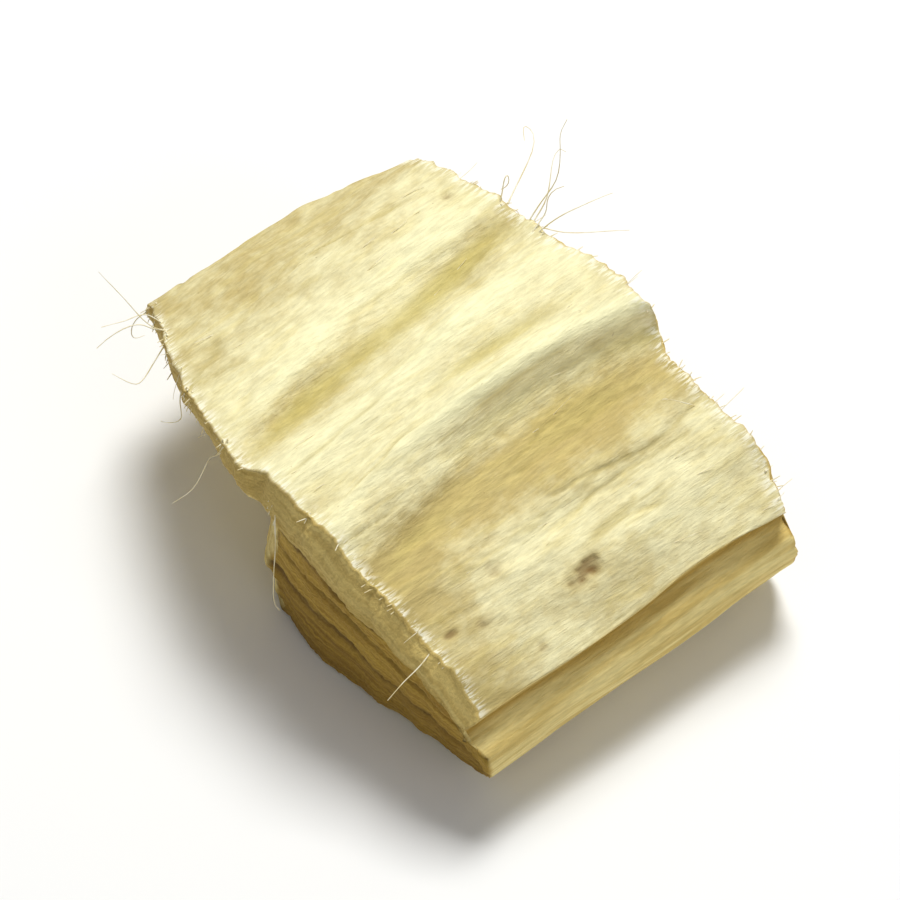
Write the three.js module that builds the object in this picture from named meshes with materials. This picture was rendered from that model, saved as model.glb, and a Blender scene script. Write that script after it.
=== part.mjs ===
// One cut piece of dried, peeled marshmallow root, the furrowed outer flank of a root chopped to tea size.
// It is a single solid. X runs across the grain, Y along it, and Z up from the split face that it lies on.
// The origin is the middle of the underside, and all sizes are in millimetres.
import * as THREE from "three";
import { mergeVertices } from "three/addons/utils/BufferGeometryUtils.js";

const WIDTH = 12.8; // across the grain
const LENGTH = 9.4; // along the grain, from one end cut to the other
const THICKNESS = 5.4; // from the flat spot it lies on to the highest ridge
const HALF_WIDTH = WIDTH / 2;
const HALF_LENGTH = LENGTH / 2;

// How finely the surface is divided.
const STEPS_BETWEEN_LINES = 4;
const STEPS_ALONG = 24;
const STEPS_UP = 14;

// The ridges and furrows of the outer skin, from the left rim to the right one. Each line is given at the
// front end, the middle and the back end: across as a share of HALF_WIDTH, height as a share of THICKNESS.
const GRAIN_LINES = [
  { name: "left rim", across: [-0.97, -0.93, -0.84], height: [0.7, 0.73, 0.78] },
  { name: "left shoulder", across: [-0.8, -0.8, -0.76], height: [0.81, 0.83, 0.85] },
  { name: "foot of the first ridge", across: [-0.5, -0.66, -0.69], height: [0.9, 0.9, 0.9] },
  { name: "first ridge", across: [-0.3, -0.43, -0.49], height: [0.955, 0.95, 0.945] },
  { name: "first furrow", across: [-0.19, -0.3, -0.37], height: [0.94, 0.9, 0.925] },
  { name: "second ridge", across: [-0.04, -0.13, -0.18], height: [0.97, 0.98, 0.975] },
  { name: "hollow before the crest", across: [0.1, -0.01, 0.01], height: [0.96, 0.955, 0.955] },
  { name: "crest", across: [0.2, 0.075, 0.17], height: [0.95, 0.985, 0.98] },
  { name: "foot of the crest", across: [0.3, 0.17, 0.23], height: [0.875, 0.86, 0.83] },
  { name: "valley", across: [0.38, 0.28, 0.33], height: [0.81, 0.79, 0.79] },
  { name: "low ridge", across: [0.48, 0.46, 0.49], height: [0.785, 0.8, 0.81] },
  { name: "second furrow", across: [0.57, 0.56, 0.58], height: [0.735, 0.755, 0.77] },
  { name: "broad ridge", across: [0.71, 0.7, 0.72], height: [0.68, 0.72, 0.74] },
  { name: "right rim", across: [0.89, 0.9, 0.93], height: [0.53, 0.57, 0.59] },
];
const WANDER_ACROSS = 0.01; // each line weaves a little from side to side, as a share of HALF_WIDTH
const WANDER_UP = 0.007; // and up and down, as a share of THICKNESS

// The two long sides from the underside up, as [across, height] shares of HALF_WIDTH and THICKNESS.
const LEFT_SIDE = [[-0.86, 0], [-0.93, 0.1], [-0.97, 0.3], [-1, 0.52], [-0.98, 0.72]];
const RIGHT_SIDE = [[0.82, 0], [0.91, 0.08], [0.96, 0.2], [0.985, 0.33], [0.96, 0.42], [0.885, 0.475],
  [0.91, 0.56]];

// The two end cuts seen from above, as [across, along] shares of HALF_WIDTH and HALF_LENGTH.
const FRONT_CUT = [[-1, -0.66], [-0.57, -0.92], [-0.2, -0.99], [0.27, -0.97], [0.53, -0.92], [1, -0.86]];
const BACK_CUT = [[-1, 0.66], [-0.82, 0.7], [-0.52, 0.79], [-0.25, 0.88], [0.03, 0.98], [0.22, 1],
  [0.28, 0.97], [0.48, 0.96], [0.73, 1], [1, 0.93]];
const FRONT_BEVEL = 0.38; // the knife crushed the upper edge of the right half back by this much
const FRONT_UNDERCUT = 0.55; // the front cut leans in towards the underside, most of all at its left
const UPRIGHT_SHARE = 0.2; // where across the piece the front cut stands upright
const CORNER_SPLIT = 3; // under the skin, the wood has split off the front-left corner by up to this much
const CORNER_START = -0.3; // the split starts here, across the piece,
const CORNER_REACH = 3.4; // and gets to its full depth this far to the left of there
const FLAP_FROM = 0.74; // the skin overhangs the split from this share of the way up
const FLAP_TO = 0.84; // and its hanging edge is whole from this share on
const BACK_BULGE = 0.2; // the back cut swells out by this much at half height
const RAGGED = 0.04; // how far the fibre ends stand out of the end cuts
const BARK_STEP = 0.08; // the bark stands this much proud of the wood on the end cuts
const UNDER_LIFT = 0.24; // the rim of the underside rises this far above the flat spot

const { clamp, lerp, smoothstep } = THREE.MathUtils;

// A value at share t of the length, on the parabola through its values at the front, the middle and the back.
function alongGrain([front, middle, back], t) {
  return front * (1 - t) * (1 - 2 * t) + middle * 4 * t * (1 - t) + back * t * (2 * t - 1);
}

// A smooth curve through [across, height] shares, in millimetres.
function sectionCurve(shares) {
  return new THREE.SplineCurve(shares.map(([across, height]) =>
    new THREE.Vector2(across * HALF_WIDTH, height * THICKNESS)));
}

// The furrowed outline of the skin in the cross-section at share t of the length.
function skinCurve(t) {
  return sectionCurve(GRAIN_LINES.map(({ across, height }, i) => [
    alongGrain(across, t) + WANDER_ACROSS * Math.sin(2 * Math.PI * (1.3 * t + 0.37 * i)),
    alongGrain(height, t) + WANDER_UP * Math.sin(2 * Math.PI * (1.7 * t + 0.61 * i)),
  ]));
}

// Where an end cut lies at this x, on straight lines between its [across, along] shares.
function cutLine(shares, x) {
  const across = clamp(x / HALF_WIDTH, -1, 1);
  const next = Math.max(1, shares.findIndex(([end]) => across <= end));
  const [[fromX, fromY], [toX, toY]] = [shares[next - 1], shares[next]];
  return lerp(fromY, toY, (across - fromX) / (toX - fromX)) * HALF_LENGTH;
}

// Uneven fibre ends: waves across the grain whose length changes along them, so that no two are alike.
function ragged(x, height) {
  const broad = Math.sin(1.7 * x + 1.8 * Math.sin(0.9 * x + 0.4) + 0.5 * height);
  const narrow = Math.sin(4.3 * x + 2.2 * Math.sin(1.3 * x + 1.1) + 0.8 * height);
  return RAGGED * (broad + 0.6 * narrow);
}

const leftSide = sectionCurve(LEFT_SIDE);
const rightSide = sectionCurve(RIGHT_SIDE);

// A point of the cross-section, as a patch between its four outlines: u runs across and v up, from 0 to 1.
function sectionPoint(u, v, skin) {
  const top = skin.getPoint(u);
  const underside = leftSide.getPoint(0).lerp(rightSide.getPoint(0), u);
  const left = leftSide.getPoint(v).addScaledVector(skin.getPoint(0).sub(leftSide.getPoint(1)), v);
  const right = rightSide.getPoint(v).addScaledVector(skin.getPoint(1).sub(rightSide.getPoint(1)), v);
  const corners = underside.clone().lerp(skin.getPoint(0).lerp(skin.getPoint(1), u), v);
  return underside.lerp(top, v).add(left.lerp(right, u)).sub(corners);
}

// Where a point of the unit block ends up: u across, t along and v up, each from 0 to 1.
function place(u, t, v, skin) {
  const { x, y: height } = sectionPoint(u, v, skin);
  const bark = BARK_STEP * smoothstep(v, 0.68, 0.78);
  const bevel = FRONT_BEVEL * smoothstep(v, 0.88, 1) * smoothstep(x, -2.5, 1.5);
  const undercut = FRONT_UNDERCUT * (1 - v) ** 2 * Math.abs(x / HALF_WIDTH - UPRIGHT_SHARE);
  const underFlap = 1 - smoothstep(v, FLAP_FROM, FLAP_TO);
  const split = CORNER_SPLIT * clamp((CORNER_START - x) / CORNER_REACH, 0, 1) * underFlap;
  const front = cutLine(FRONT_CUT, x) + bevel + undercut + split - bark + ragged(x, height);
  const back = cutLine(BACK_CUT, x) + bark + BACK_BULGE * Math.sin(Math.PI * v) + ragged(x + 7, height);
  const rim = Math.hypot(2 * u - 1, 2 * t - 1);
  const lift = UNDER_LIFT * (1 - v) ** 4 * smoothstep(rim, 0.55, 1.4) * (1 + 0.25 * Math.sin(9 * u + 2 * t));
  return new THREE.Vector3(x, lerp(front, back, t), height + lift);
}

// Bends a finely divided block into the piece, then fits it to its real size and stands it on its origin.
function rootGeometry() {
  const stepsAcross = (GRAIN_LINES.length - 1) * STEPS_BETWEEN_LINES;
  const block = new THREE.BoxGeometry(1, 1, 1, stepsAcross, STEPS_ALONG, STEPS_UP);
  block.deleteAttribute("normal");
  block.deleteAttribute("uv");
  const geometry = mergeVertices(block);
  const position = geometry.attributes.position;
  const skins = Array.from({ length: STEPS_ALONG + 1 }, (_, step) => skinCurve(step / STEPS_ALONG));
  for (let i = 0; i < position.count; i++) {
    const [u, t, v] = [position.getX(i) + 0.5, position.getY(i) + 0.5, position.getZ(i) + 0.5];
    position.setXYZ(i, ...place(u, t, v, skins[Math.round(t * STEPS_ALONG)]));
  }
  geometry.computeBoundingBox();
  const { min, max } = geometry.boundingBox;
  geometry.translate(-(min.x + max.x) / 2, -(min.y + max.y) / 2, -min.z);
  geometry.scale(WIDTH / (max.x - min.x), LENGTH / (max.y - min.y), THICKNESS / (max.z - min.z));
  geometry.computeVertexNormals();
  return geometry;
}

const driedRoot = new THREE.MeshStandardMaterial({ color: 0xe8dfb4, roughness: 0.85, metalness: 0 });
const rootPiece = new THREE.Mesh(rootGeometry(), driedRoot);
rootPiece.name = "root_piece";

const part = new THREE.Group();
part.add(rootPiece);
export default part;
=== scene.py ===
import math

import bpy
import numpy as np
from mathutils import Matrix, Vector, noise


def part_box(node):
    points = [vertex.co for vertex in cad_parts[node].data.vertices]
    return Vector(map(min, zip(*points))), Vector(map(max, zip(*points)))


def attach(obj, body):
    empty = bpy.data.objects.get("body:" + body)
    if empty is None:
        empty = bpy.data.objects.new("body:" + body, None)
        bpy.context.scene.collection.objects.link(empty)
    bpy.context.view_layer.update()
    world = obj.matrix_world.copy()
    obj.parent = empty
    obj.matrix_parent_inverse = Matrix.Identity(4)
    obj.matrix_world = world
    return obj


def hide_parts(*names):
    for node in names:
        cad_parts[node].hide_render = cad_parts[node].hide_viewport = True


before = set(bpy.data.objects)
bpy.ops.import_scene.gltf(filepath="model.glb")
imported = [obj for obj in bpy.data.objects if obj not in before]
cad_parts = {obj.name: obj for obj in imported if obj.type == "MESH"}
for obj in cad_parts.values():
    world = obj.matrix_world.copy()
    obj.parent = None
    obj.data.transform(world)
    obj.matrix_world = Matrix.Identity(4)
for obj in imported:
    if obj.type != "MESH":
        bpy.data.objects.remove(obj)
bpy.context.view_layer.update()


# ROOT PIECE
# One piece of dried, peeled marshmallow root, chopped across the grain with a knife and split off the
# root's flank. Its skin has dried into ridges and furrows that run with the grain. Both ends are cut, and
# the wood has split off one corner, where the skin still overhangs.

# The sizes of the piece are in mm. Times MM they are in metres, as Blender needs them.
MM = 0.001
HALF_WIDTH, HALF_LENGTH, THICKNESS = 6.4, 4.7, 5.4
STEPS_ACROSS, STEPS_ALONG, STEPS_UP = 240, 124, 48

# The ridges and furrows from the left rim to the right one. First, how far across each is as a share of
# HALF_WIDTH, at the front end, the middle and the back end. Then how high, as a share of THICKNESS, at the
# same three places. Last, how tan its skin is, from 0 for cream to about 1.
GRAIN_LINES = {
    "left rim": ([-0.97, -0.93, -0.84], [0.7, 0.73, 0.78], 0.75),
    "left shoulder": ([-0.8, -0.8, -0.76], [0.81, 0.83, 0.85], 0.65),
    "foot of the first ridge": ([-0.5, -0.66, -0.69], [0.9, 0.9, 0.9], 0.45),
    "first ridge": ([-0.3, -0.43, -0.49], [0.955, 0.95, 0.945], 0.05),
    "first furrow": ([-0.19, -0.3, -0.37], [0.94, 0.9, 0.925], 0.6),
    "second ridge": ([-0.04, -0.13, -0.18], [0.97, 0.98, 0.975], 0.0),
    "hollow before the crest": ([0.1, -0.01, 0.01], [0.96, 0.955, 0.955], 0.25),
    "crest": ([0.2, 0.075, 0.17], [0.95, 0.985, 0.98], 0.05),
    "foot of the crest": ([0.3, 0.17, 0.23], [0.875, 0.86, 0.83], 0.4),
    "valley": ([0.38, 0.28, 0.33], [0.81, 0.79, 0.79], 1.15),
    "low ridge": ([0.48, 0.46, 0.49], [0.785, 0.8, 0.81], 0.65),
    "second furrow": ([0.57, 0.56, 0.58], [0.735, 0.755, 0.77], 0.35),
    "broad ridge": ([0.71, 0.7, 0.72], [0.68, 0.72, 0.74], 0.2),
    "right rim": ([0.89, 0.9, 0.93], [0.53, 0.57, 0.59], 0.5),
}
LINES = np.array([[across, height] for across, height, tan in GRAIN_LINES.values()])
TANS = [tan for across, height, tan in GRAIN_LINES.values()]
WANDER_ACROSS = 0.01  # each line weaves a little from side to side, as a share of HALF_WIDTH
WANDER_UP = 0.007  # and up and down, as a share of THICKNESS

# The two long sides from the underside up, as [across, height] shares of HALF_WIDTH and THICKNESS. A groove
# runs along the right one.
LEFT_SIDE = np.array([[-0.86, 0], [-0.93, 0.1], [-0.97, 0.3], [-1, 0.52], [-0.98, 0.72]])
RIGHT_SIDE = np.array([[0.82, 0], [0.91, 0.08], [0.96, 0.2], [0.985, 0.33], [0.96, 0.42], [0.885, 0.475],
                       [0.91, 0.56]])
GROOVE_AT = 0.83  # where the groove is, as a share of the way up the side,
GROOVE_REACH = 0.035  # and how far it reaches up and down from there

# The two end cuts seen from above, as [across, along] shares of HALF_WIDTH and HALF_LENGTH.
FRONT_CUT = np.array([[-1, -0.66], [-0.57, -0.92], [-0.2, -0.99], [0.27, -0.97], [0.53, -0.92], [1, -0.86]])
BACK_CUT = np.array([[-1, 0.66], [-0.82, 0.7], [-0.52, 0.79], [-0.25, 0.88], [0.03, 0.98], [0.22, 1],
                     [0.28, 0.97], [0.48, 0.96], [0.73, 1], [1, 0.93]])
FRONT_BEVEL = 0.38  # the knife crushed the upper edge of the right half back by this much,
BEVEL_FROM, BEVEL_TO = -2.5, 1.5  # more and more between these places across the piece
FRONT_UNDERCUT = 0.55  # the front cut leans in towards the underside, most of all at its left
UPRIGHT_SHARE = 0.2  # where across the piece the front cut stands upright
CORNER_SPLIT = 3  # under the skin, the wood has split off the front-left corner by up to this much
CORNER_START = -0.3  # the split starts about here, across the piece,
CORNER_REACH = 3.4  # and gets to its full depth this far to the left of there
FLAP_FROM = 0.74  # the skin overhangs the split from this share of the way up
FLAP_TO = 0.84  # and its hanging edge is whole from this share on
BACK_BULGE = 0.2  # the back cut swells out by this much at half height
RAGGED = 0.04  # how far the fibre ends stand out of the end cuts
BARK_STEP = 0.08  # the bark stands this much proud of the wood on the end cuts,
BARK_FROM, BARK_TO = 0.68, 0.78  # more and more between these shares of the way up
UNDER_LIFT = 0.24  # the rim of the underside rises this far above the flat spot


def smoothstep(value, low, high):
    """0 at low and beyond it, 1 at high and beyond it, and a smooth change between."""
    share = np.clip((value - low) / (high - low), 0, 1)
    return share * share * (3 - 2 * share)


def band(value, middle, reach):
    """A soft band: 1 in its middle, fading out to either side."""
    return np.exp(-((value - middle) / reach) ** 2)


def along_grain(front, middle, back, t):
    """A value at share t of the length, on the parabola through its values at three places."""
    return front * (1 - t) * (1 - 2 * t) + middle * 4 * t * (1 - t) + back * t * (2 * t - 1)


def smooth_curve(point_at, count, share):
    """A smooth curve through count points, at each share of it. point_at gives the points by number."""
    reach = share * (count - 1)
    first = np.minimum(reach.astype(int), count - 2)
    f = (reach - first)[:, None]
    before, start, end, after = (point_at(np.clip(first + i, 0, count - 1)) for i in (-1, 0, 1, 2))
    leaving, arriving = (end - before) / 2, (after - start) / 2
    return ((2 * start - 2 * end + leaving + arriving) * f**3
            + (3 * end - 3 * start - 2 * leaving - arriving) * f**2 + leaving * f + start)


def skin(u, t):
    """The furrowed top outline of the cross-section: [across, height] in mm."""
    def line(i):
        across = along_grain(*LINES[i, 0].T, t) + WANDER_ACROSS * np.sin(2 * np.pi * (1.3 * t + 0.37 * i))
        height = along_grain(*LINES[i, 1].T, t) + WANDER_UP * np.sin(2 * np.pi * (1.7 * t + 0.61 * i))
        return np.stack([across * HALF_WIDTH, height * THICKNESS], axis=1)
    return smooth_curve(line, len(LINES), u)


def side(shares, v):
    """A long side of the cross-section, from the underside up: [across, height] in mm."""
    return smooth_curve(lambda i: shares[i] * (HALF_WIDTH, THICKNESS), len(shares), v)


def ragged(x, height):
    """Uneven fibre ends along a cut, in waves whose length changes along them."""
    broad = np.sin(1.7 * x + 1.8 * np.sin(0.9 * x + 0.4) + 0.5 * height)
    narrow = np.sin(4.3 * x + 2.2 * np.sin(1.3 * x + 1.1) + 0.8 * height)
    return RAGGED * (broad + 0.6 * narrow)


def corner_split(x, v):
    """How much of the split at the front-left corner is reached, from 0 to 1. It starts on a crooked line."""
    start = CORNER_START + 0.16 * np.sin(11 * v + 0.5) + 0.08 * np.sin(29 * v)
    return np.clip((start - x) / CORNER_REACH, 0, 1) * (1 - smoothstep(v, FLAP_FROM, FLAP_TO))


def body_points(u, t, v):
    """The piece's surface before its fine relief. Each argument runs from 0 to 1: across, along and up."""
    zero, one = np.zeros_like(u), np.ones_like(u)
    top_left, top_right = skin(zero, t), skin(one, t)
    low_left, low_right = side(LEFT_SIDE, zero), side(RIGHT_SIDE, zero)
    uc, vc = u[:, None], v[:, None]
    left = side(LEFT_SIDE, v) + (top_left - side(LEFT_SIDE, one)) * vc
    right = side(RIGHT_SIDE, v) + (top_right - side(RIGHT_SIDE, one)) * vc
    low = low_left + (low_right - low_left) * uc
    corners = low + (top_left + (top_right - top_left) * uc - low) * vc
    x, height = (low + (skin(u, t) - low) * vc + left + (right - left) * uc - corners).T
    bark = BARK_STEP * smoothstep(v, BARK_FROM, BARK_TO)
    bevel = FRONT_BEVEL * smoothstep(v, 0.88, 1) * smoothstep(x, BEVEL_FROM, BEVEL_TO)
    undercut = FRONT_UNDERCUT * (1 - v) ** 2 * abs(x / HALF_WIDTH - UPRIGHT_SHARE)
    front, back = (np.interp(x / HALF_WIDTH, *cut.T) * HALF_LENGTH for cut in (FRONT_CUT, BACK_CUT))
    front += bevel + undercut + CORNER_SPLIT * corner_split(x, v) - bark + ragged(x, height)
    back += bark + BACK_BULGE * np.sin(np.pi * v) + ragged(x + 7, height)
    rim = np.hypot(2 * u - 1, 2 * t - 1)
    lift = UNDER_LIFT * (1 - v) ** 4 * smoothstep(rim, 0.55, 1.4) * (1 + 0.25 * np.sin(9 * u + 2 * t))
    return np.stack([x, front + (back - front) * t, height + lift], axis=1)


def box_faces(steps):
    """The six faces of a block divided into steps cells along X, Y and Z, as quads of shared corners.
    Gives the corners as shares of the block, and the quads."""
    index, quads = {}, []
    for axis in range(3):
        a, b = (axis + 1) % 3, (axis + 2) % 3
        for level in (0, steps[axis]):
            for i in range(steps[a]):
                for j in range(steps[b]):
                    quad = []
                    for di, dj in ((0, 0), (1, 0), (1, 1), (0, 1)):
                        corner = [0, 0, 0]
                        corner[axis], corner[a], corner[b] = level, i + di, j + dj
                        quad.append(index.setdefault(tuple(corner), len(index)))
                    quads.append(quad if level else quad[::-1])
    return np.array(list(index)) / steps, quads


def grain_noise(places, sizes, start):
    """Noise from -1 to 1 at each place, with features of these sizes in mm. start picks another pattern."""
    return np.array([noise.noise(Vector(place)) for place in (places / sizes + start).tolist()])


def rough(places, *layers):
    """Noise of several sizes added up. Each layer has its height and its sizes in mm, and its pattern."""
    return sum(height * grain_noise(places, sizes, start) for height, sizes, start in layers)


def crease(values, sharpness):
    """Thin lines where noise crosses zero: 1 in the line and 0 away from it."""
    return np.clip(1 - abs(values) * sharpness, 0, 1) ** 2


share, quads = box_faces((STEPS_ACROSS, STEPS_ALONG, STEPS_UP))
u, t, v = share.T
points = body_points(u, t, v)
low, high = (np.array(corner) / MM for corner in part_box("root_piece"))
points = low + (points - points.min(axis=0)) * (high - low) / np.ptp(points, axis=0)

root_mesh = bpy.data.meshes.new("dried_root")
root_mesh.from_pydata(points * MM, [], quads)
root_mesh.update()
normals = np.empty(len(points) * 3, np.float32)
root_mesh.vertices.foreach_get("normal", normals)
normals = normals.reshape(-1, 3)

# What each place on the surface is, mostly told by the way it faces: dried skin, a cut end, or split wood.
at_front = t == 0
split_face = at_front * smoothstep(corner_split(points[:, 0], v), 0, 0.05)
skin_share = smoothstep(normals[:, 2], 0.1, 0.55) * smoothstep(v, 0.9, 1)
end_share = smoothstep(abs(normals[:, 1]), 0.45, 0.8) * (1 - split_face)
wood_share = 1 - np.maximum(skin_share, end_share)
# The band along the bottom of the groove on the right side, under the overhanging rim, where the material
# paints shade.
groove = (u == 1) * band(v, GROOVE_AT, GROOVE_REACH)

# The skin's ribs and dry creases wander a little from side to side as they run with the grain. The split
# wood has fine fibres instead, and low swells on its sides.
wander = rough(points, (0.3, (1.3, 2.6, 1.3), 61), (0.08, (0.4, 0.8, 0.4), 63))
woven = points + wander[:, None] * (1, 0, 0)
ribs = rough(woven, (0.055, (0.8, 4, 2), 3), (0.045, (0.36, 1.8, 1), 11), (0.026, (0.18, 0.8, 0.5), 13))
ribs += rough(points, (0.016, (0.11, 0.3, 0.3), 15))
creased = smoothstep(grain_noise(points, (2, 3, 2), 17), -0.1, 0.3)
creases = crease(grain_noise(woven, (0.9, 6, 2), 5), 8) * creased
dents = grain_noise(points, (0.7, 0.9, 0.7), 23)
fibres = rough(points, (0.05, (0.4, 4, 0.3), 7), (0.035, (0.16, 2, 0.14), 29))
swells = rough(points, (0.1, (1.6, 3, 1.4), 67)) * smoothstep(v, 0.8, 0.6)


def skin_nearby(reach):
    """The average height of the skin within this share of the width to either side, in mm."""
    shifts = np.linspace(-reach, reach, 9)
    return np.mean([skin(np.clip(u + shift, 0, 1), t)[:, 1] for shift in shifts], axis=0)


# The layers of the root show on its cut ends. The bark follows the skin, and deeper layers lie straighter.
# The knife tore them, and they have dried apart along three lines, each given as a share of the way up and a
# depth in mm. GAP_REACH is how far a gap reaches up and down, also as a share. On the right, the knife
# crushed the upper edge of the front end too.
LAYER_GAPS = {0.36: 0.07, 0.6: 0.13, 0.77: 0.1}
GAP_REACH = 0.018
straight = points[:, 2] / skin_nearby(0.25)
level = straight + (v - straight) * smoothstep(v, 0.6, 0.85)
layer_place = np.stack([u * 2 * HALF_WIDTH, level * THICKNESS, t], axis=1)
level += rough(layer_place, (0.014, (1.8, 9, 1), 43), (0.008, (0.4, 9, 1), 45))
gaps = {place: band(level, place, GAP_REACH) for place in LAYER_GAPS}
torn = rough(layer_place, (0.035, (1.1, 0.24, 1), 31), (0.03, (0.3, 0.14, 1), 37),
             (0.03, (0.13, 0.16, 1), 39))
for place, depth in LAYER_GAPS.items():
    torn -= depth * gaps[place]
crushed = at_front * smoothstep(v, 0.84, 0.9) * smoothstep(points[:, 0], BEVEL_FROM, BEVEL_TO)
end_share = np.maximum(end_share, crushed)
skin_share = skin_share * (1 - crushed)

# Where the corner split off, the wood broke into long splinters.
splinters = rough(layer_place, (0.24, (2.6, 0.5, 1), 75), (0.14, (1, 0.16, 1), 77),
                  (0.06, (0.4, 0.1, 1), 79))
offset = (skin_share * (ribs - 0.05 * creases + 0.03 * dents) + end_share * torn + (1 - skin_share) * swells
          + (wood_share - split_face) * fibres + split_face * splinters)

# Little scars where side rootlets were trimmed off:
# across, along, size across, size along, depth, and how brown they are from 0 to 1.
SCARS = [
    (4.7, -0.15, 0.17, 0.4, 0.13, 0.95),
    (3.56, -1.7, 0.12, 0.2, 0.04, 0.4),
    (4.32, -2.6, 0.12, 0.22, 0.04, 0.45),
    (4.1, -3.3, 0.1, 0.16, 0.05, 0.65),
    (-3.72, 2.92, 0.1, 0.13, 0.06, 0.6),
    (5.3, -1.8, 0.08, 0.14, 0.03, 0.4),
]
scar = np.zeros(len(points))
halo = np.zeros(len(points))
edge_noise = grain_noise(points, (0.16, 0.22, 0.16), 41)
for x, y, across, along, depth, brownness in SCARS:
    gap = np.hypot((points[:, 0] - x) / across, (points[:, 1] - y) / along) + 0.8 * edge_noise
    scar = np.maximum(scar, skin_share * brownness * (1 - smoothstep(gap, 0.1, 1.3)))
    halo = np.maximum(halo, skin_share * brownness * (1 - smoothstep(gap, 0.6, 3)))
    offset -= depth * skin_share * (1 - smoothstep(gap, 0.1, 1.5))

# Along the cut edges of the skin, its fibres broke off at different lengths.
end_gap = np.minimum(t, 1 - t) * 2 * HALF_LENGTH
outward = np.where(t < 0.5, -1, 1)
lengths = rough(points, (0.08, (0.4, 9, 9), 71), (0.06, (0.13, 9, 9), 73))
lengths *= smoothstep(end_gap, 0.35, 0) * smoothstep(v, 0.8, 0.96)
points = points + normals * offset[:, None] + (outward * lengths)[:, None] * (0, 1, 0)
points[:, 2] = np.maximum(points[:, 2], 0)
root_mesh.vertices.foreach_set("co", (points * MM).ravel().astype(np.float32))

# How far the skin lies under its own average nearby, which sets the painted shade in the furrows and the
# painted highlight on the ridges. The two rims have skin on one side only and count as 0.
NEARBY = 0.05
sunk = (skin_nearby(NEARBY) - skin(u, t)[:, 1]) * smoothstep(np.minimum(u, 1 - u), NEARBY, 2 * NEARBY)
# The painted highlight on the ridges fades to half its strength towards the right.
sunk = np.where(sunk < 0, sunk * (1 - 0.5 * smoothstep(u, 0.6, 0.8)), sunk)

# The skin is tanner towards its front right corner.
tans = np.interp(u * (len(TANS) - 1), range(len(TANS)), TANS)
tans += 0.45 * smoothstep(t, 0.3, 0) * smoothstep(u, 0.5, 0.8)


def store(mesh, name, values):
    """Keeps a number or a vector for each point of the mesh, for its material or its fibres to read."""
    kind, field = ("FLOAT", "value") if values.ndim == 1 else ("FLOAT_VECTOR", "vector")
    mesh.attributes.new(name, kind, "POINT").data.foreach_set(field, values.ravel().astype(np.float32))


looks = {
    "skin": skin_share,
    "cut_end": end_share,
    "crushed": crushed,
    "split": split_face,
    "groove": groove,
    # crease: where the material paints shade into the skin's creases
    "crease": creases * skin_share,
    "scar": scar,
    "halo": halo,
    # furrow: where the material paints shade in the furrows and a highlight on the ridges
    "furrow": sunk,
    "tan": tans,
    "level": level,
    # layer_gap: the gaps between the layers on the ends, where the material paints shade
    "layer_gap": np.max(list(gaps.values()), axis=0) * end_share,
    "end_gap": end_gap,
    "layer_place": layer_place * MM,
}
for name, values in looks.items():
    store(root_mesh, name, values)
root_mesh.polygons.foreach_set("use_smooth", np.ones(len(quads), bool))
root_mesh.update()
root = bpy.data.objects.new("dried_root", root_mesh)
bpy.context.collection.objects.link(root)
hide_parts("root_piece")
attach(root, "root")


def colour(red, green, blue):
    """A colour for a socket, from the 0 to 255 values that a screen shows."""
    values = (np.array([red, green, blue]) / 255) ** 2.2
    return (*values.tolist(), 1)


def set_socket(tree, socket, value):
    """Links the socket to another node's output, or sets it to a plain value."""
    if isinstance(value, bpy.types.NodeSocket):
        tree.links.new(value, socket)
    else:
        socket.default_value = value


def add_node(tree, kind, **inputs):
    """A node with its inputs set by name, where an underscore stands for a blank."""
    made = tree.nodes.new(kind)
    for name, value in inputs.items():
        set_socket(tree, made.inputs[name.replace("_", " ")], value)
    return made


def mixed(tree, share, first, second, blend="MIX"):
    """The colour between first and second, by a share from 0 to 1. A Mix node has sockets for plain numbers
    and vectors too, so those for colours are inputs 6 and 7 and output 2."""
    made = tree.nodes.new("ShaderNodeMix")
    made.data_type, made.blend_type = "RGBA", blend
    for socket, value in zip((made.inputs[0], made.inputs[6], made.inputs[7]), (share, first, second)):
        set_socket(tree, socket, value)
    return made.outputs[2]


def ranged(tree, value, low, high, start=0.0, end=1.0):
    """A number mapped smoothly from low..high to start..end."""
    made = add_node(tree, "ShaderNodeMapRange", Value=value, From_Min=low, From_Max=high,
                    To_Min=start, To_Max=end)
    made.interpolation_type = "SMOOTHSTEP"
    return made.outputs["Result"]


def maths(tree, operation, *values):
    """The outcome of a sum on one or two numbers."""
    made = tree.nodes.new("ShaderNodeMath")
    made.operation = operation
    for socket, value in zip(made.inputs, values):
        set_socket(tree, socket, value)
    return made.outputs[0]


def attribute(tree, name, output="Fac"):
    """What the mesh keeps under this name: a number or, with output Vector, a vector."""
    made = tree.nodes.new("ShaderNodeAttribute")
    made.attribute_name = name
    return made.outputs[output]


def root_noise(tree, sizes, detail, start, place=None):
    """Noise from 0 to 1 with features of these sizes in mm, on the piece's own coordinates or on place.
    detail adds finer ones, and start picks another pattern."""
    place = place or tree.nodes.new("ShaderNodeTexCoord").outputs["Object"]
    stretched = add_node(tree, "ShaderNodeMapping", Vector=place, Scale=[1 / (size * MM) for size in sizes],
                         Location=(start, start, start))
    made = add_node(tree, "ShaderNodeTexNoise", Vector=stretched.outputs[0], Scale=1.0, Detail=detail,
                    Roughness=0.6)
    return made.outputs["Fac"]


dried_root = bpy.data.materials.new("dried marshmallow root")
dried_root.use_nodes = True
tree = dried_root.node_tree
shader = tree.nodes["Principled BSDF"]
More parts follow.
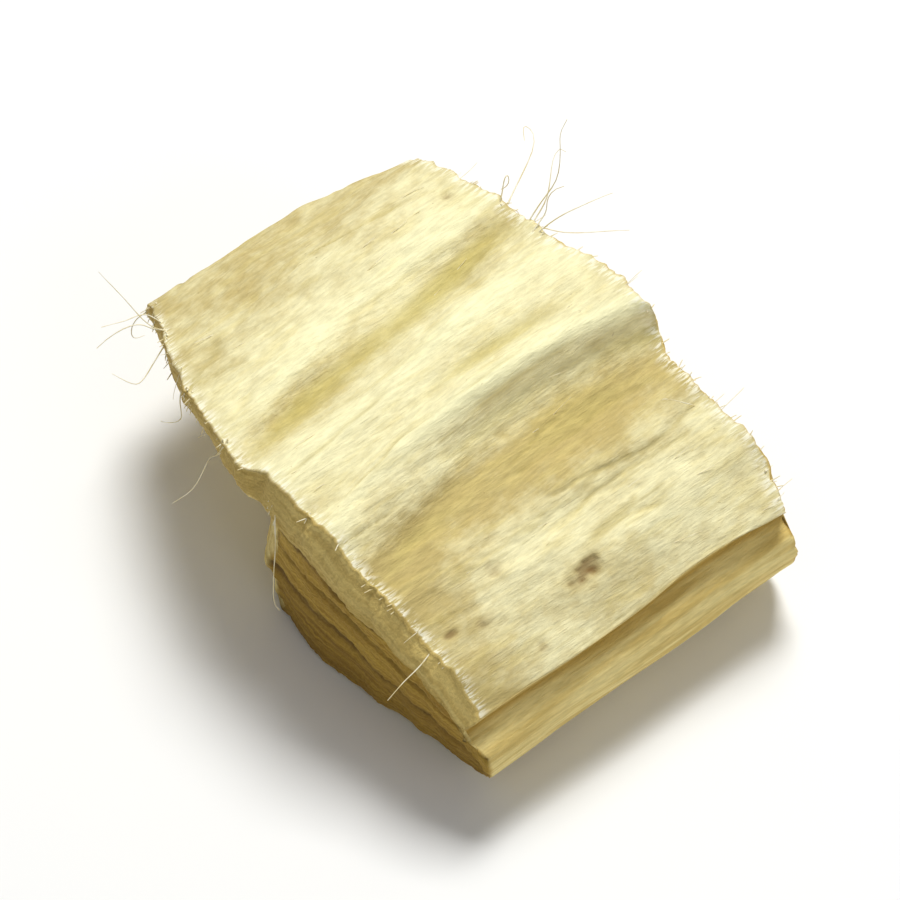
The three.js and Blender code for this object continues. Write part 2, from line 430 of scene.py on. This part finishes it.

# The skin: cream on the ridges and tan in the hollows, mottled, with straw streaks and a few brown specks.
# It is browner about the scars, and nearly white where its fibres are frayed along the cut edges. Painted
# highlight lightens its ridge tops, and painted shade darkens its furrows and creases.
cloud = root_noise(tree, (1.3, 2.0, 1.3), 5, 3)
mottle = root_noise(tree, (0.28, 0.4, 0.28), 5, 15)
streaks = root_noise(tree, (0.26, 1.5, 0.26), 5, 9)
fine_fibres = root_noise(tree, (0.06, 0.4, 0.06), 5, 1)
tan = maths(tree, "ADD", attribute(tree, "tan"), ranged(tree, cloud, 0.3, 0.7, -0.22, 0.22))
tan = maths(tree, "ADD", tan, ranged(tree, mottle, 0.35, 0.65, -0.1, 0.1))
furrow = attribute(tree, "furrow")
skin_colour = mixed(tree, ranged(tree, tan, 0.0, 1.05), colour(246, 238, 188), colour(194, 174, 111))
skin_colour = mixed(tree, ranged(tree, streaks, 0.48, 0.64, 0, 0.3), skin_colour, colour(220, 202, 128))
# Painted shade: the skin darkens to olive where it lies under the skin nearby, in the furrows.
skin_colour = mixed(tree, ranged(tree, furrow, 0.02, 0.13, 0, 0.75), skin_colour, colour(197, 181, 100))
# Painted highlight: the skin lightens to near-white cream where it stands above the skin nearby, on the
# ridges.
skin_colour = mixed(tree, ranged(tree, furrow, -0.03, -0.13, 0, 0.85), skin_colour, colour(252, 247, 197))
# Painted shade darkens the skin in its creases.
crease_shade = ranged(tree, attribute(tree, "crease"), 0, 1, 0, 0.4)
skin_colour = mixed(tree, crease_shade, skin_colour, colour(178, 160, 88))
near_end = ranged(tree, attribute(tree, "end_gap"), 0.45, 0.0, 0, 0.85)
frayed = maths(tree, "MULTIPLY", near_end, ranged(tree, fine_fibres, 0.46, 0.58))
skin_colour = mixed(tree, frayed, skin_colour, colour(252, 249, 226))
specks = ranged(tree, root_noise(tree, (0.11, 0.18, 0.11), 2, 19), 0.68, 0.78)
speckled = ranged(tree, root_noise(tree, (2.2, 2.2, 2.2), 2, 27), 0.48, 0.66, 0, 0.45)
skin_colour = mixed(tree, maths(tree, "MULTIPLY", specks, speckled), skin_colour, colour(140, 112, 62))
around_scar = maths(tree, "MULTIPLY", attribute(tree, "halo"), 0.5)
skin_colour = mixed(tree, around_scar, skin_colour, colour(196, 172, 98))

# The split wood of the sides and the underside: a deeper straw yellow with long fibre streaks. They follow
# the layers on the split corner. Along the groove, under the overhanging rim, painted shade makes it browner.
place = attribute(tree, "layer_place", "Vector")
layers = ranged(tree, root_noise(tree, (3.2, 0.14, 1), 4, 2, place), 0.34, 0.66)
split = attribute(tree, "split")
side_streaks = maths(tree, "MULTIPLY", ranged(tree, root_noise(tree, (0.3, 4, 0.22), 5, 4), 0.35, 0.65),
                     maths(tree, "SUBTRACT", 1.0, split))
wood_streaks = maths(tree, "ADD", side_streaks, maths(tree, "MULTIPLY", layers, split))
wood_colour = mixed(tree, wood_streaks, colour(240, 220, 148), colour(212, 184, 106))
# Painted shade makes the groove browner.
wood_colour = mixed(tree, attribute(tree, "groove"), wood_colour, colour(180, 146, 66))

# The cut ends, from the outside in: straw-coloured bark, then golden-brown wood, and a darker core. They are
# darkest along the dried gaps, with painted shade inside the gaps, and palest where the knife crushed the
# edge.
up = attribute(tree, "level")
bark_colour = mixed(tree, layers, colour(208, 181, 102), colour(184, 154, 78))
wood_layers = mixed(tree, layers, colour(194, 159, 66), colour(160, 124, 42))
core_colour = mixed(tree, layers, colour(176, 141, 54), colour(140, 106, 33))
end_colour = mixed(tree, ranged(tree, up, 0.28, 0.4), core_colour, wood_layers)
end_colour = mixed(tree, ranged(tree, up, 0.74, 0.8), end_colour, bark_colour)
# Painted shade darkens the ends inside the dried gaps between the layers.
in_gap = maths(tree, "MULTIPLY", attribute(tree, "layer_gap"), 0.8)
end_colour = mixed(tree, in_gap, end_colour, colour(78, 56, 20))

# All of them together, each where it belongs, with fine fibres all over and the scars on top. The fine
# fibres raise a bump, and their colour gets painted shade in their low parts and painted highlight on their
# tops.
surface = mixed(tree, attribute(tree, "skin"), wood_colour, skin_colour)
surface = mixed(tree, attribute(tree, "cut_end"), surface, end_colour)
crushed_colour = mixed(tree, layers, colour(228, 203, 124), colour(202, 174, 98))
surface = mixed(tree, attribute(tree, "crushed"), surface, crushed_colour)
# Painted shade and highlight: the colour is darker where the fine fibres lie low and lighter where they stand
# high.
fibre_shade = ranged(tree, fine_fibres, 0.3, 0.7, 0.88, 1.07)
shade = add_node(tree, "ShaderNodeCombineColor", Red=fibre_shade, Green=fibre_shade, Blue=fibre_shade)
surface = mixed(tree, 1.0, surface, shade.outputs[0], "MULTIPLY")
surface = mixed(tree, attribute(tree, "scar"), surface, colour(116, 82, 34))
tree.links.new(surface, shader.inputs["Base Color"])
tree.links.new(ranged(tree, fine_fibres, 0.3, 0.7, 0.95, 0.78), shader.inputs["Roughness"])
bump = add_node(tree, "ShaderNodeBump", Height=fine_fibres, Strength=1.0, Distance=0.035 * MM)
tree.links.new(bump.outputs[0], shader.inputs["Normal"])
root_mesh.materials.append(dried_root)


# BAST FIBRES
# Pale, limp fibres of the bark, thinner than a human hair. The knife pulled a few of them out of the cut
# edges of the skin, where they still hang by one end, with a fringe of short torn strands. Others lie along
# the skin as a thin fuzz.

ROOT_DEPTH = 0.05 * MM  # each fibre passes this far under its spot on the surface,
ROOT_LENGTH = 0.15 * MM  # and starts up to this far behind it
FIBRE_POINTS = 16
WAVES = 450.0  # how finely the fibres wave, in features to the metre

# The fibres stand along the cut edges and point with the grain. From the skin that overhangs the split
# corner they hang down.
edge = skin_share * smoothstep(end_gap, 0.4, 0.05)
edge[(t > 0) & (t < 1) & (v < 1)] = 0
flap_edge = at_front * smoothstep(v, 0.82, 0.9) * smoothstep(points[:, 0], CORNER_START + 0.4, CORNER_START)
with_grain = np.array([0, 1, 0]) - normals * normals[:, 1:2]
fibre_way = outward[:, None] * with_grain + 0.15 * normals
fibre_way += flap_edge[:, None] * (np.array([0, -0.4, -1]) - fibre_way)

# Where the longest hairs hang in tufts: how far across, the tuft's half width, and 1 for the back end or -1
# for the front end. A few more stand about the edges.
TUFTS = [(-2.8, 0.3, 1), (-1.95, 0.2, 1), (-5.3, 0.4, -1), (-3.2, 0.2, -1)]
in_tuft = np.zeros(len(points))
for across, reach, end in TUFTS:
    in_tuft += band(points[:, 0], across, reach) * (outward == end)
strays = 0.08 * smoothstep(grain_noise(points, (1.2, 1.2, 1.2), 57), 0.05, 0.35)

frayed_mesh = root_mesh.copy()
frays = {
    "fringe": np.maximum(edge, flap_edge) * smoothstep(grain_noise(points, (0.5, 0.5, 0.5), 53), -0.1, 0.4),
    "tufts": edge * (in_tuft + strays) + 0.07 * flap_edge,
    "fuzz": skin_share * (v == 1) * smoothstep(grain_noise(points, (1.5, 2, 1.5), 59), -0.2, 0.5),
    "fibre_way": fibre_way,
}
for name, values in frays.items():
    store(frayed_mesh, name, values)


def fibre_nodes():
    """A node tree that grows fibres from a surface, as densely as its attribute Where says."""
    tree = bpy.data.node_groups.new("bast fibres", "GeometryNodeTree")
    new_socket = tree.interface.new_socket
    new_socket("Surface", in_out="INPUT", socket_type="NodeSocketGeometry")
    new_socket("Where", in_out="INPUT", socket_type="NodeSocketString")
    for name in ("Density", "Length", "Thickness", "Curl", "Spread"):
        new_socket(name, in_out="INPUT", socket_type="NodeSocketFloat")
    new_socket("Seed", in_out="INPUT", socket_type="NodeSocketInt")
    new_socket("Material", in_out="INPUT", socket_type="NodeSocketMaterial")
    new_socket("Fibres", in_out="OUTPUT", socket_type="NodeSocketGeometry")
    given = tree.nodes.new("NodeGroupInput").outputs

    def named(name, kind):
        made = tree.nodes.new("GeometryNodeInputNamedAttribute")
        made.data_type = kind
        set_socket(tree, made.inputs["Name"], name)
        return made.outputs["Attribute"]

    def vectors(operation, first, second):
        made = tree.nodes.new("ShaderNodeVectorMath")
        made.operation = operation
        set_socket(tree, made.inputs[0], first)
        set_socket(tree, made.inputs["Scale" if operation == "SCALE" else 1], second)
        return made.outputs[0]

    def random(kind, low, high, shift):
        made = tree.nodes.new("FunctionNodeRandomValue")
        made.data_type = kind
        low_socket, high_socket = [s for s in made.inputs if s.enabled and s.name in ("Min", "Max")]
        low_socket.default_value, high_socket.default_value = low, high
        tree.links.new(maths(tree, "ADD", given["Seed"], shift), made.inputs["Seed"])
        return next(s for s in made.outputs if s.enabled)

    # Straight fibres stand on random spots of the surface, each rooted a little way inside it.
    density = maths(tree, "MULTIPLY", named(given["Where"], "FLOAT"), given["Density"])
    spots = add_node(tree, "GeometryNodeDistributePointsOnFaces", Mesh=given["Surface"], Density=density,
                     Seed=given["Seed"])
    tilt = vectors("SCALE", random("FLOAT_VECTOR", (-1, -1, -1), (1, 1, 1), 1), given["Spread"])
    way = vectors("ADD", named("fibre_way", "FLOAT_VECTOR"), tilt)
    turned = add_node(tree, "FunctionNodeAlignRotationToVector", Vector=way)
    tip = add_node(tree, "ShaderNodeCombineXYZ", Z=given["Length"])
    straight = add_node(tree, "GeometryNodeCurvePrimitiveLine", Start=(0, 0, -ROOT_LENGTH),
                        End=tip.outputs[0])
    fine = add_node(tree, "GeometryNodeResampleCurve", Curve=straight.outputs[0], Count=FIBRE_POINTS)
    sunken = add_node(tree, "GeometryNodeSetPosition", Geometry=spots.outputs["Points"],
                      Offset=vectors("SCALE", spots.outputs["Normal"], -ROOT_DEPTH))
    placed = add_node(tree, "GeometryNodeInstanceOnPoints", Points=sunken.outputs[0],
                      Instance=fine.outputs[0], Rotation=turned.outputs[0],
                      Scale=random("FLOAT", 0.25, 1.0, 2))
    marked = add_node(tree, "GeometryNodeStoreNamedAttribute", Geometry=placed.outputs[0], Name="own",
                      Value=random("FLOAT", 0.0, 50.0, 3))
    marked.domain = "INSTANCE"
    curves = add_node(tree, "GeometryNodeRealizeInstances", Geometry=marked.outputs[0])

    # Each bends its own way, more and more towards its tip, and rests on the ground where it would go below.
    reach = tree.nodes.new("GeometryNodeSplineParameter").outputs["Factor"]
    wave = tree.nodes.new("ShaderNodeTexNoise")
    wave.noise_dimensions = "4D"
    position = tree.nodes.new("GeometryNodeInputPosition").outputs[0]
    waves = {"Vector": position, "W": named("own", "FLOAT"), "Scale": WAVES, "Detail": 1.0}
    for name, value in waves.items():
        set_socket(tree, wave.inputs[name], value)
    centred = vectors("SUBTRACT", wave.outputs["Color"], (0.5, 0.5, 0.5))
    growing = maths(tree, "MULTIPLY", given["Curl"], maths(tree, "POWER", reach, 1.4))
    bent = add_node(tree, "GeometryNodeSetPosition", Geometry=curves.outputs[0],
                    Offset=vectors("SCALE", centred, growing))
    bent_position = tree.nodes.new("GeometryNodeInputPosition").outputs[0]
    split = add_node(tree, "ShaderNodeSeparateXYZ", Vector=bent_position)
    above = add_node(tree, "ShaderNodeCombineXYZ", X=split.outputs[0], Y=split.outputs[1],
                     Z=maths(tree, "MAXIMUM", split.outputs[2], given["Thickness"]))
    resting = add_node(tree, "GeometryNodeSetPosition", Geometry=bent.outputs[0], Position=above.outputs[0])

    # A ring of four corners, smaller towards the tip, gives them their thickness.
    taper = maths(tree, "SUBTRACT", 0.5, maths(tree, "MULTIPLY", reach, 0.3))
    ring = add_node(tree, "GeometryNodeCurvePrimitiveCircle", Resolution=4, Radius=1.0)
    threads = add_node(tree, "GeometryNodeCurveToMesh", Curve=resting.outputs[0],
                       Profile_Curve=ring.outputs[0], Fill_Caps=True,
                       Scale=maths(tree, "MULTIPLY", given["Thickness"], taper))
    whole = add_node(tree, "GeometryNodeRealizeInstances", Geometry=threads.outputs[0])
    coated = add_node(tree, "GeometryNodeSetMaterial", Geometry=whole.outputs[0], Material=given["Material"])
    tree.links.new(coated.outputs[0], tree.nodes.new("NodeGroupOutput").inputs["Fibres"])
    return tree


pale_fibre = bpy.data.materials.new("bast fibre")
pale_fibre.use_nodes = True
tree = pale_fibre.node_tree
shade = ranged(tree, root_noise(tree, (0.3, 0.3, 0.3), 2, 6), 0.35, 0.65)
fibre_colour = mixed(tree, shade, colour(248, 241, 212), colour(228, 212, 158))
tree.links.new(fibre_colour, tree.nodes["Principled BSDF"].inputs["Base Color"])
tree.nodes["Principled BSDF"].inputs["Roughness"].default_value = 0.6

fibre_group = fibre_nodes()


def grow_fibres(name, **sizes):
    """Grows one kind of fibre on the frayed surface and makes it a plain mesh that goes with the root."""
    grower = bpy.data.objects.new(name + "_grower", frayed_mesh)
    bpy.context.collection.objects.link(grower)
    modifier = grower.modifiers.new("fibres", "NODES")
    modifier.node_group = fibre_group
    for socket in fibre_group.interface.items_tree:
        if socket.name in sizes:
            modifier[socket.identifier] = sizes[socket.name]
    evaluated = grower.evaluated_get(bpy.context.evaluated_depsgraph_get())
    mesh = bpy.data.meshes.new_from_object(evaluated)
    bpy.data.objects.remove(grower)
    mesh.polygons.foreach_set("use_smooth", np.ones(len(mesh.polygons), bool))
    fibres = bpy.data.objects.new(name, mesh)
    bpy.context.collection.objects.link(fibres)
    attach(fibres, "root")


grow_fibres("bast_hairs", Where="tufts", Density=2.0e7, Length=2.4 * MM, Thickness=0.035 * MM, Curl=6.0 * MM,
            Spread=0.5, Seed=4, Material=pale_fibre)
grow_fibres("torn_strands", Where="fringe", Density=6.0e7, Length=0.3 * MM, Thickness=0.045 * MM,
            Curl=0.35 * MM, Spread=0.22, Seed=9, Material=pale_fibre)
grow_fibres("skin_fuzz", Where="fuzz", Density=1.6e6, Length=0.9 * MM, Thickness=0.022 * MM, Curl=0.5 * MM,
            Spread=0.12, Seed=14, Material=pale_fibre)
bpy.data.meshes.remove(frayed_mesh)


# STUDIO
# A plain pale floor, one large soft light above the piece and a little behind it, and a weak fill from the
# right. The camera looks down on the piece through a long lens. Sizes here are in metres.

FLOOR_REACH = 0.6
floor_corners = [(x * FLOOR_REACH, y * FLOOR_REACH, 0) for x, y in ((-1, -1), (1, -1), (1, 1), (-1, 1))]
floor_mesh = bpy.data.meshes.new("floor")
floor_mesh.from_pydata(floor_corners, [], [(0, 1, 2, 3)])
floor = bpy.data.objects.new("floor", floor_mesh)
bpy.context.collection.objects.link(floor)
pale = bpy.data.materials.new("pale floor")
pale.use_nodes = True
pale.node_tree.nodes["Principled BSDF"].inputs["Base Color"].default_value = (0.9, 0.9, 0.88, 1)
pale.node_tree.nodes["Principled BSDF"].inputs["Roughness"].default_value = 0.7
floor_mesh.materials.append(pale)


def area_light(name, toward, distance, size, power):
    """A square softbox that shines on the piece from the direction toward."""
    data = bpy.data.lights.new(name, "AREA")
    data.shape, data.size, data.energy = "SQUARE", size, power
    light = bpy.data.objects.new(name, data)
    direction = Vector(toward).normalized()
    light.location = direction * distance
    light.rotation_euler = direction.to_track_quat("Z", "Y").to_euler()
    bpy.context.collection.objects.link(light)


area_light("softbox above", toward=(-0.35, 0.45, 1.0), distance=0.25, size=0.09, power=0.6)
area_light("fill from the right", toward=(0.9, 0.1, 0.5), distance=0.3, size=0.2, power=0.16)

world = bpy.data.worlds.new("studio")
world.use_nodes = True
world.node_tree.nodes["Background"].inputs["Color"].default_value = (1, 1, 1, 1)
world.node_tree.nodes["Background"].inputs["Strength"].default_value = 0.25
bpy.context.scene.world = world
bpy.context.scene.view_settings.view_transform = "Standard"

# The camera looks at the piece from where the photograph does: to the right of its front and well above.
AZIMUTH, ELEVATION = math.radians(51), math.radians(60)
DISTANCE = 0.16
AIM_HEIGHT = 0.0024
camera_data = bpy.data.cameras.new("camera")
camera_data.lens = 300
camera_data.clip_start, camera_data.clip_end = 0.01, 5
camera = bpy.data.objects.new("camera", camera_data)
flat = math.cos(ELEVATION)
back = Vector((math.sin(AZIMUTH) * flat, -math.cos(AZIMUTH) * flat, math.sin(ELEVATION)))
camera.location = Vector((0, 0, AIM_HEIGHT)) + back * DISTANCE
camera.rotation_euler = back.to_track_quat("Z", "Y").to_euler()
bpy.context.collection.objects.link(camera)
bpy.context.scene.camera = camera
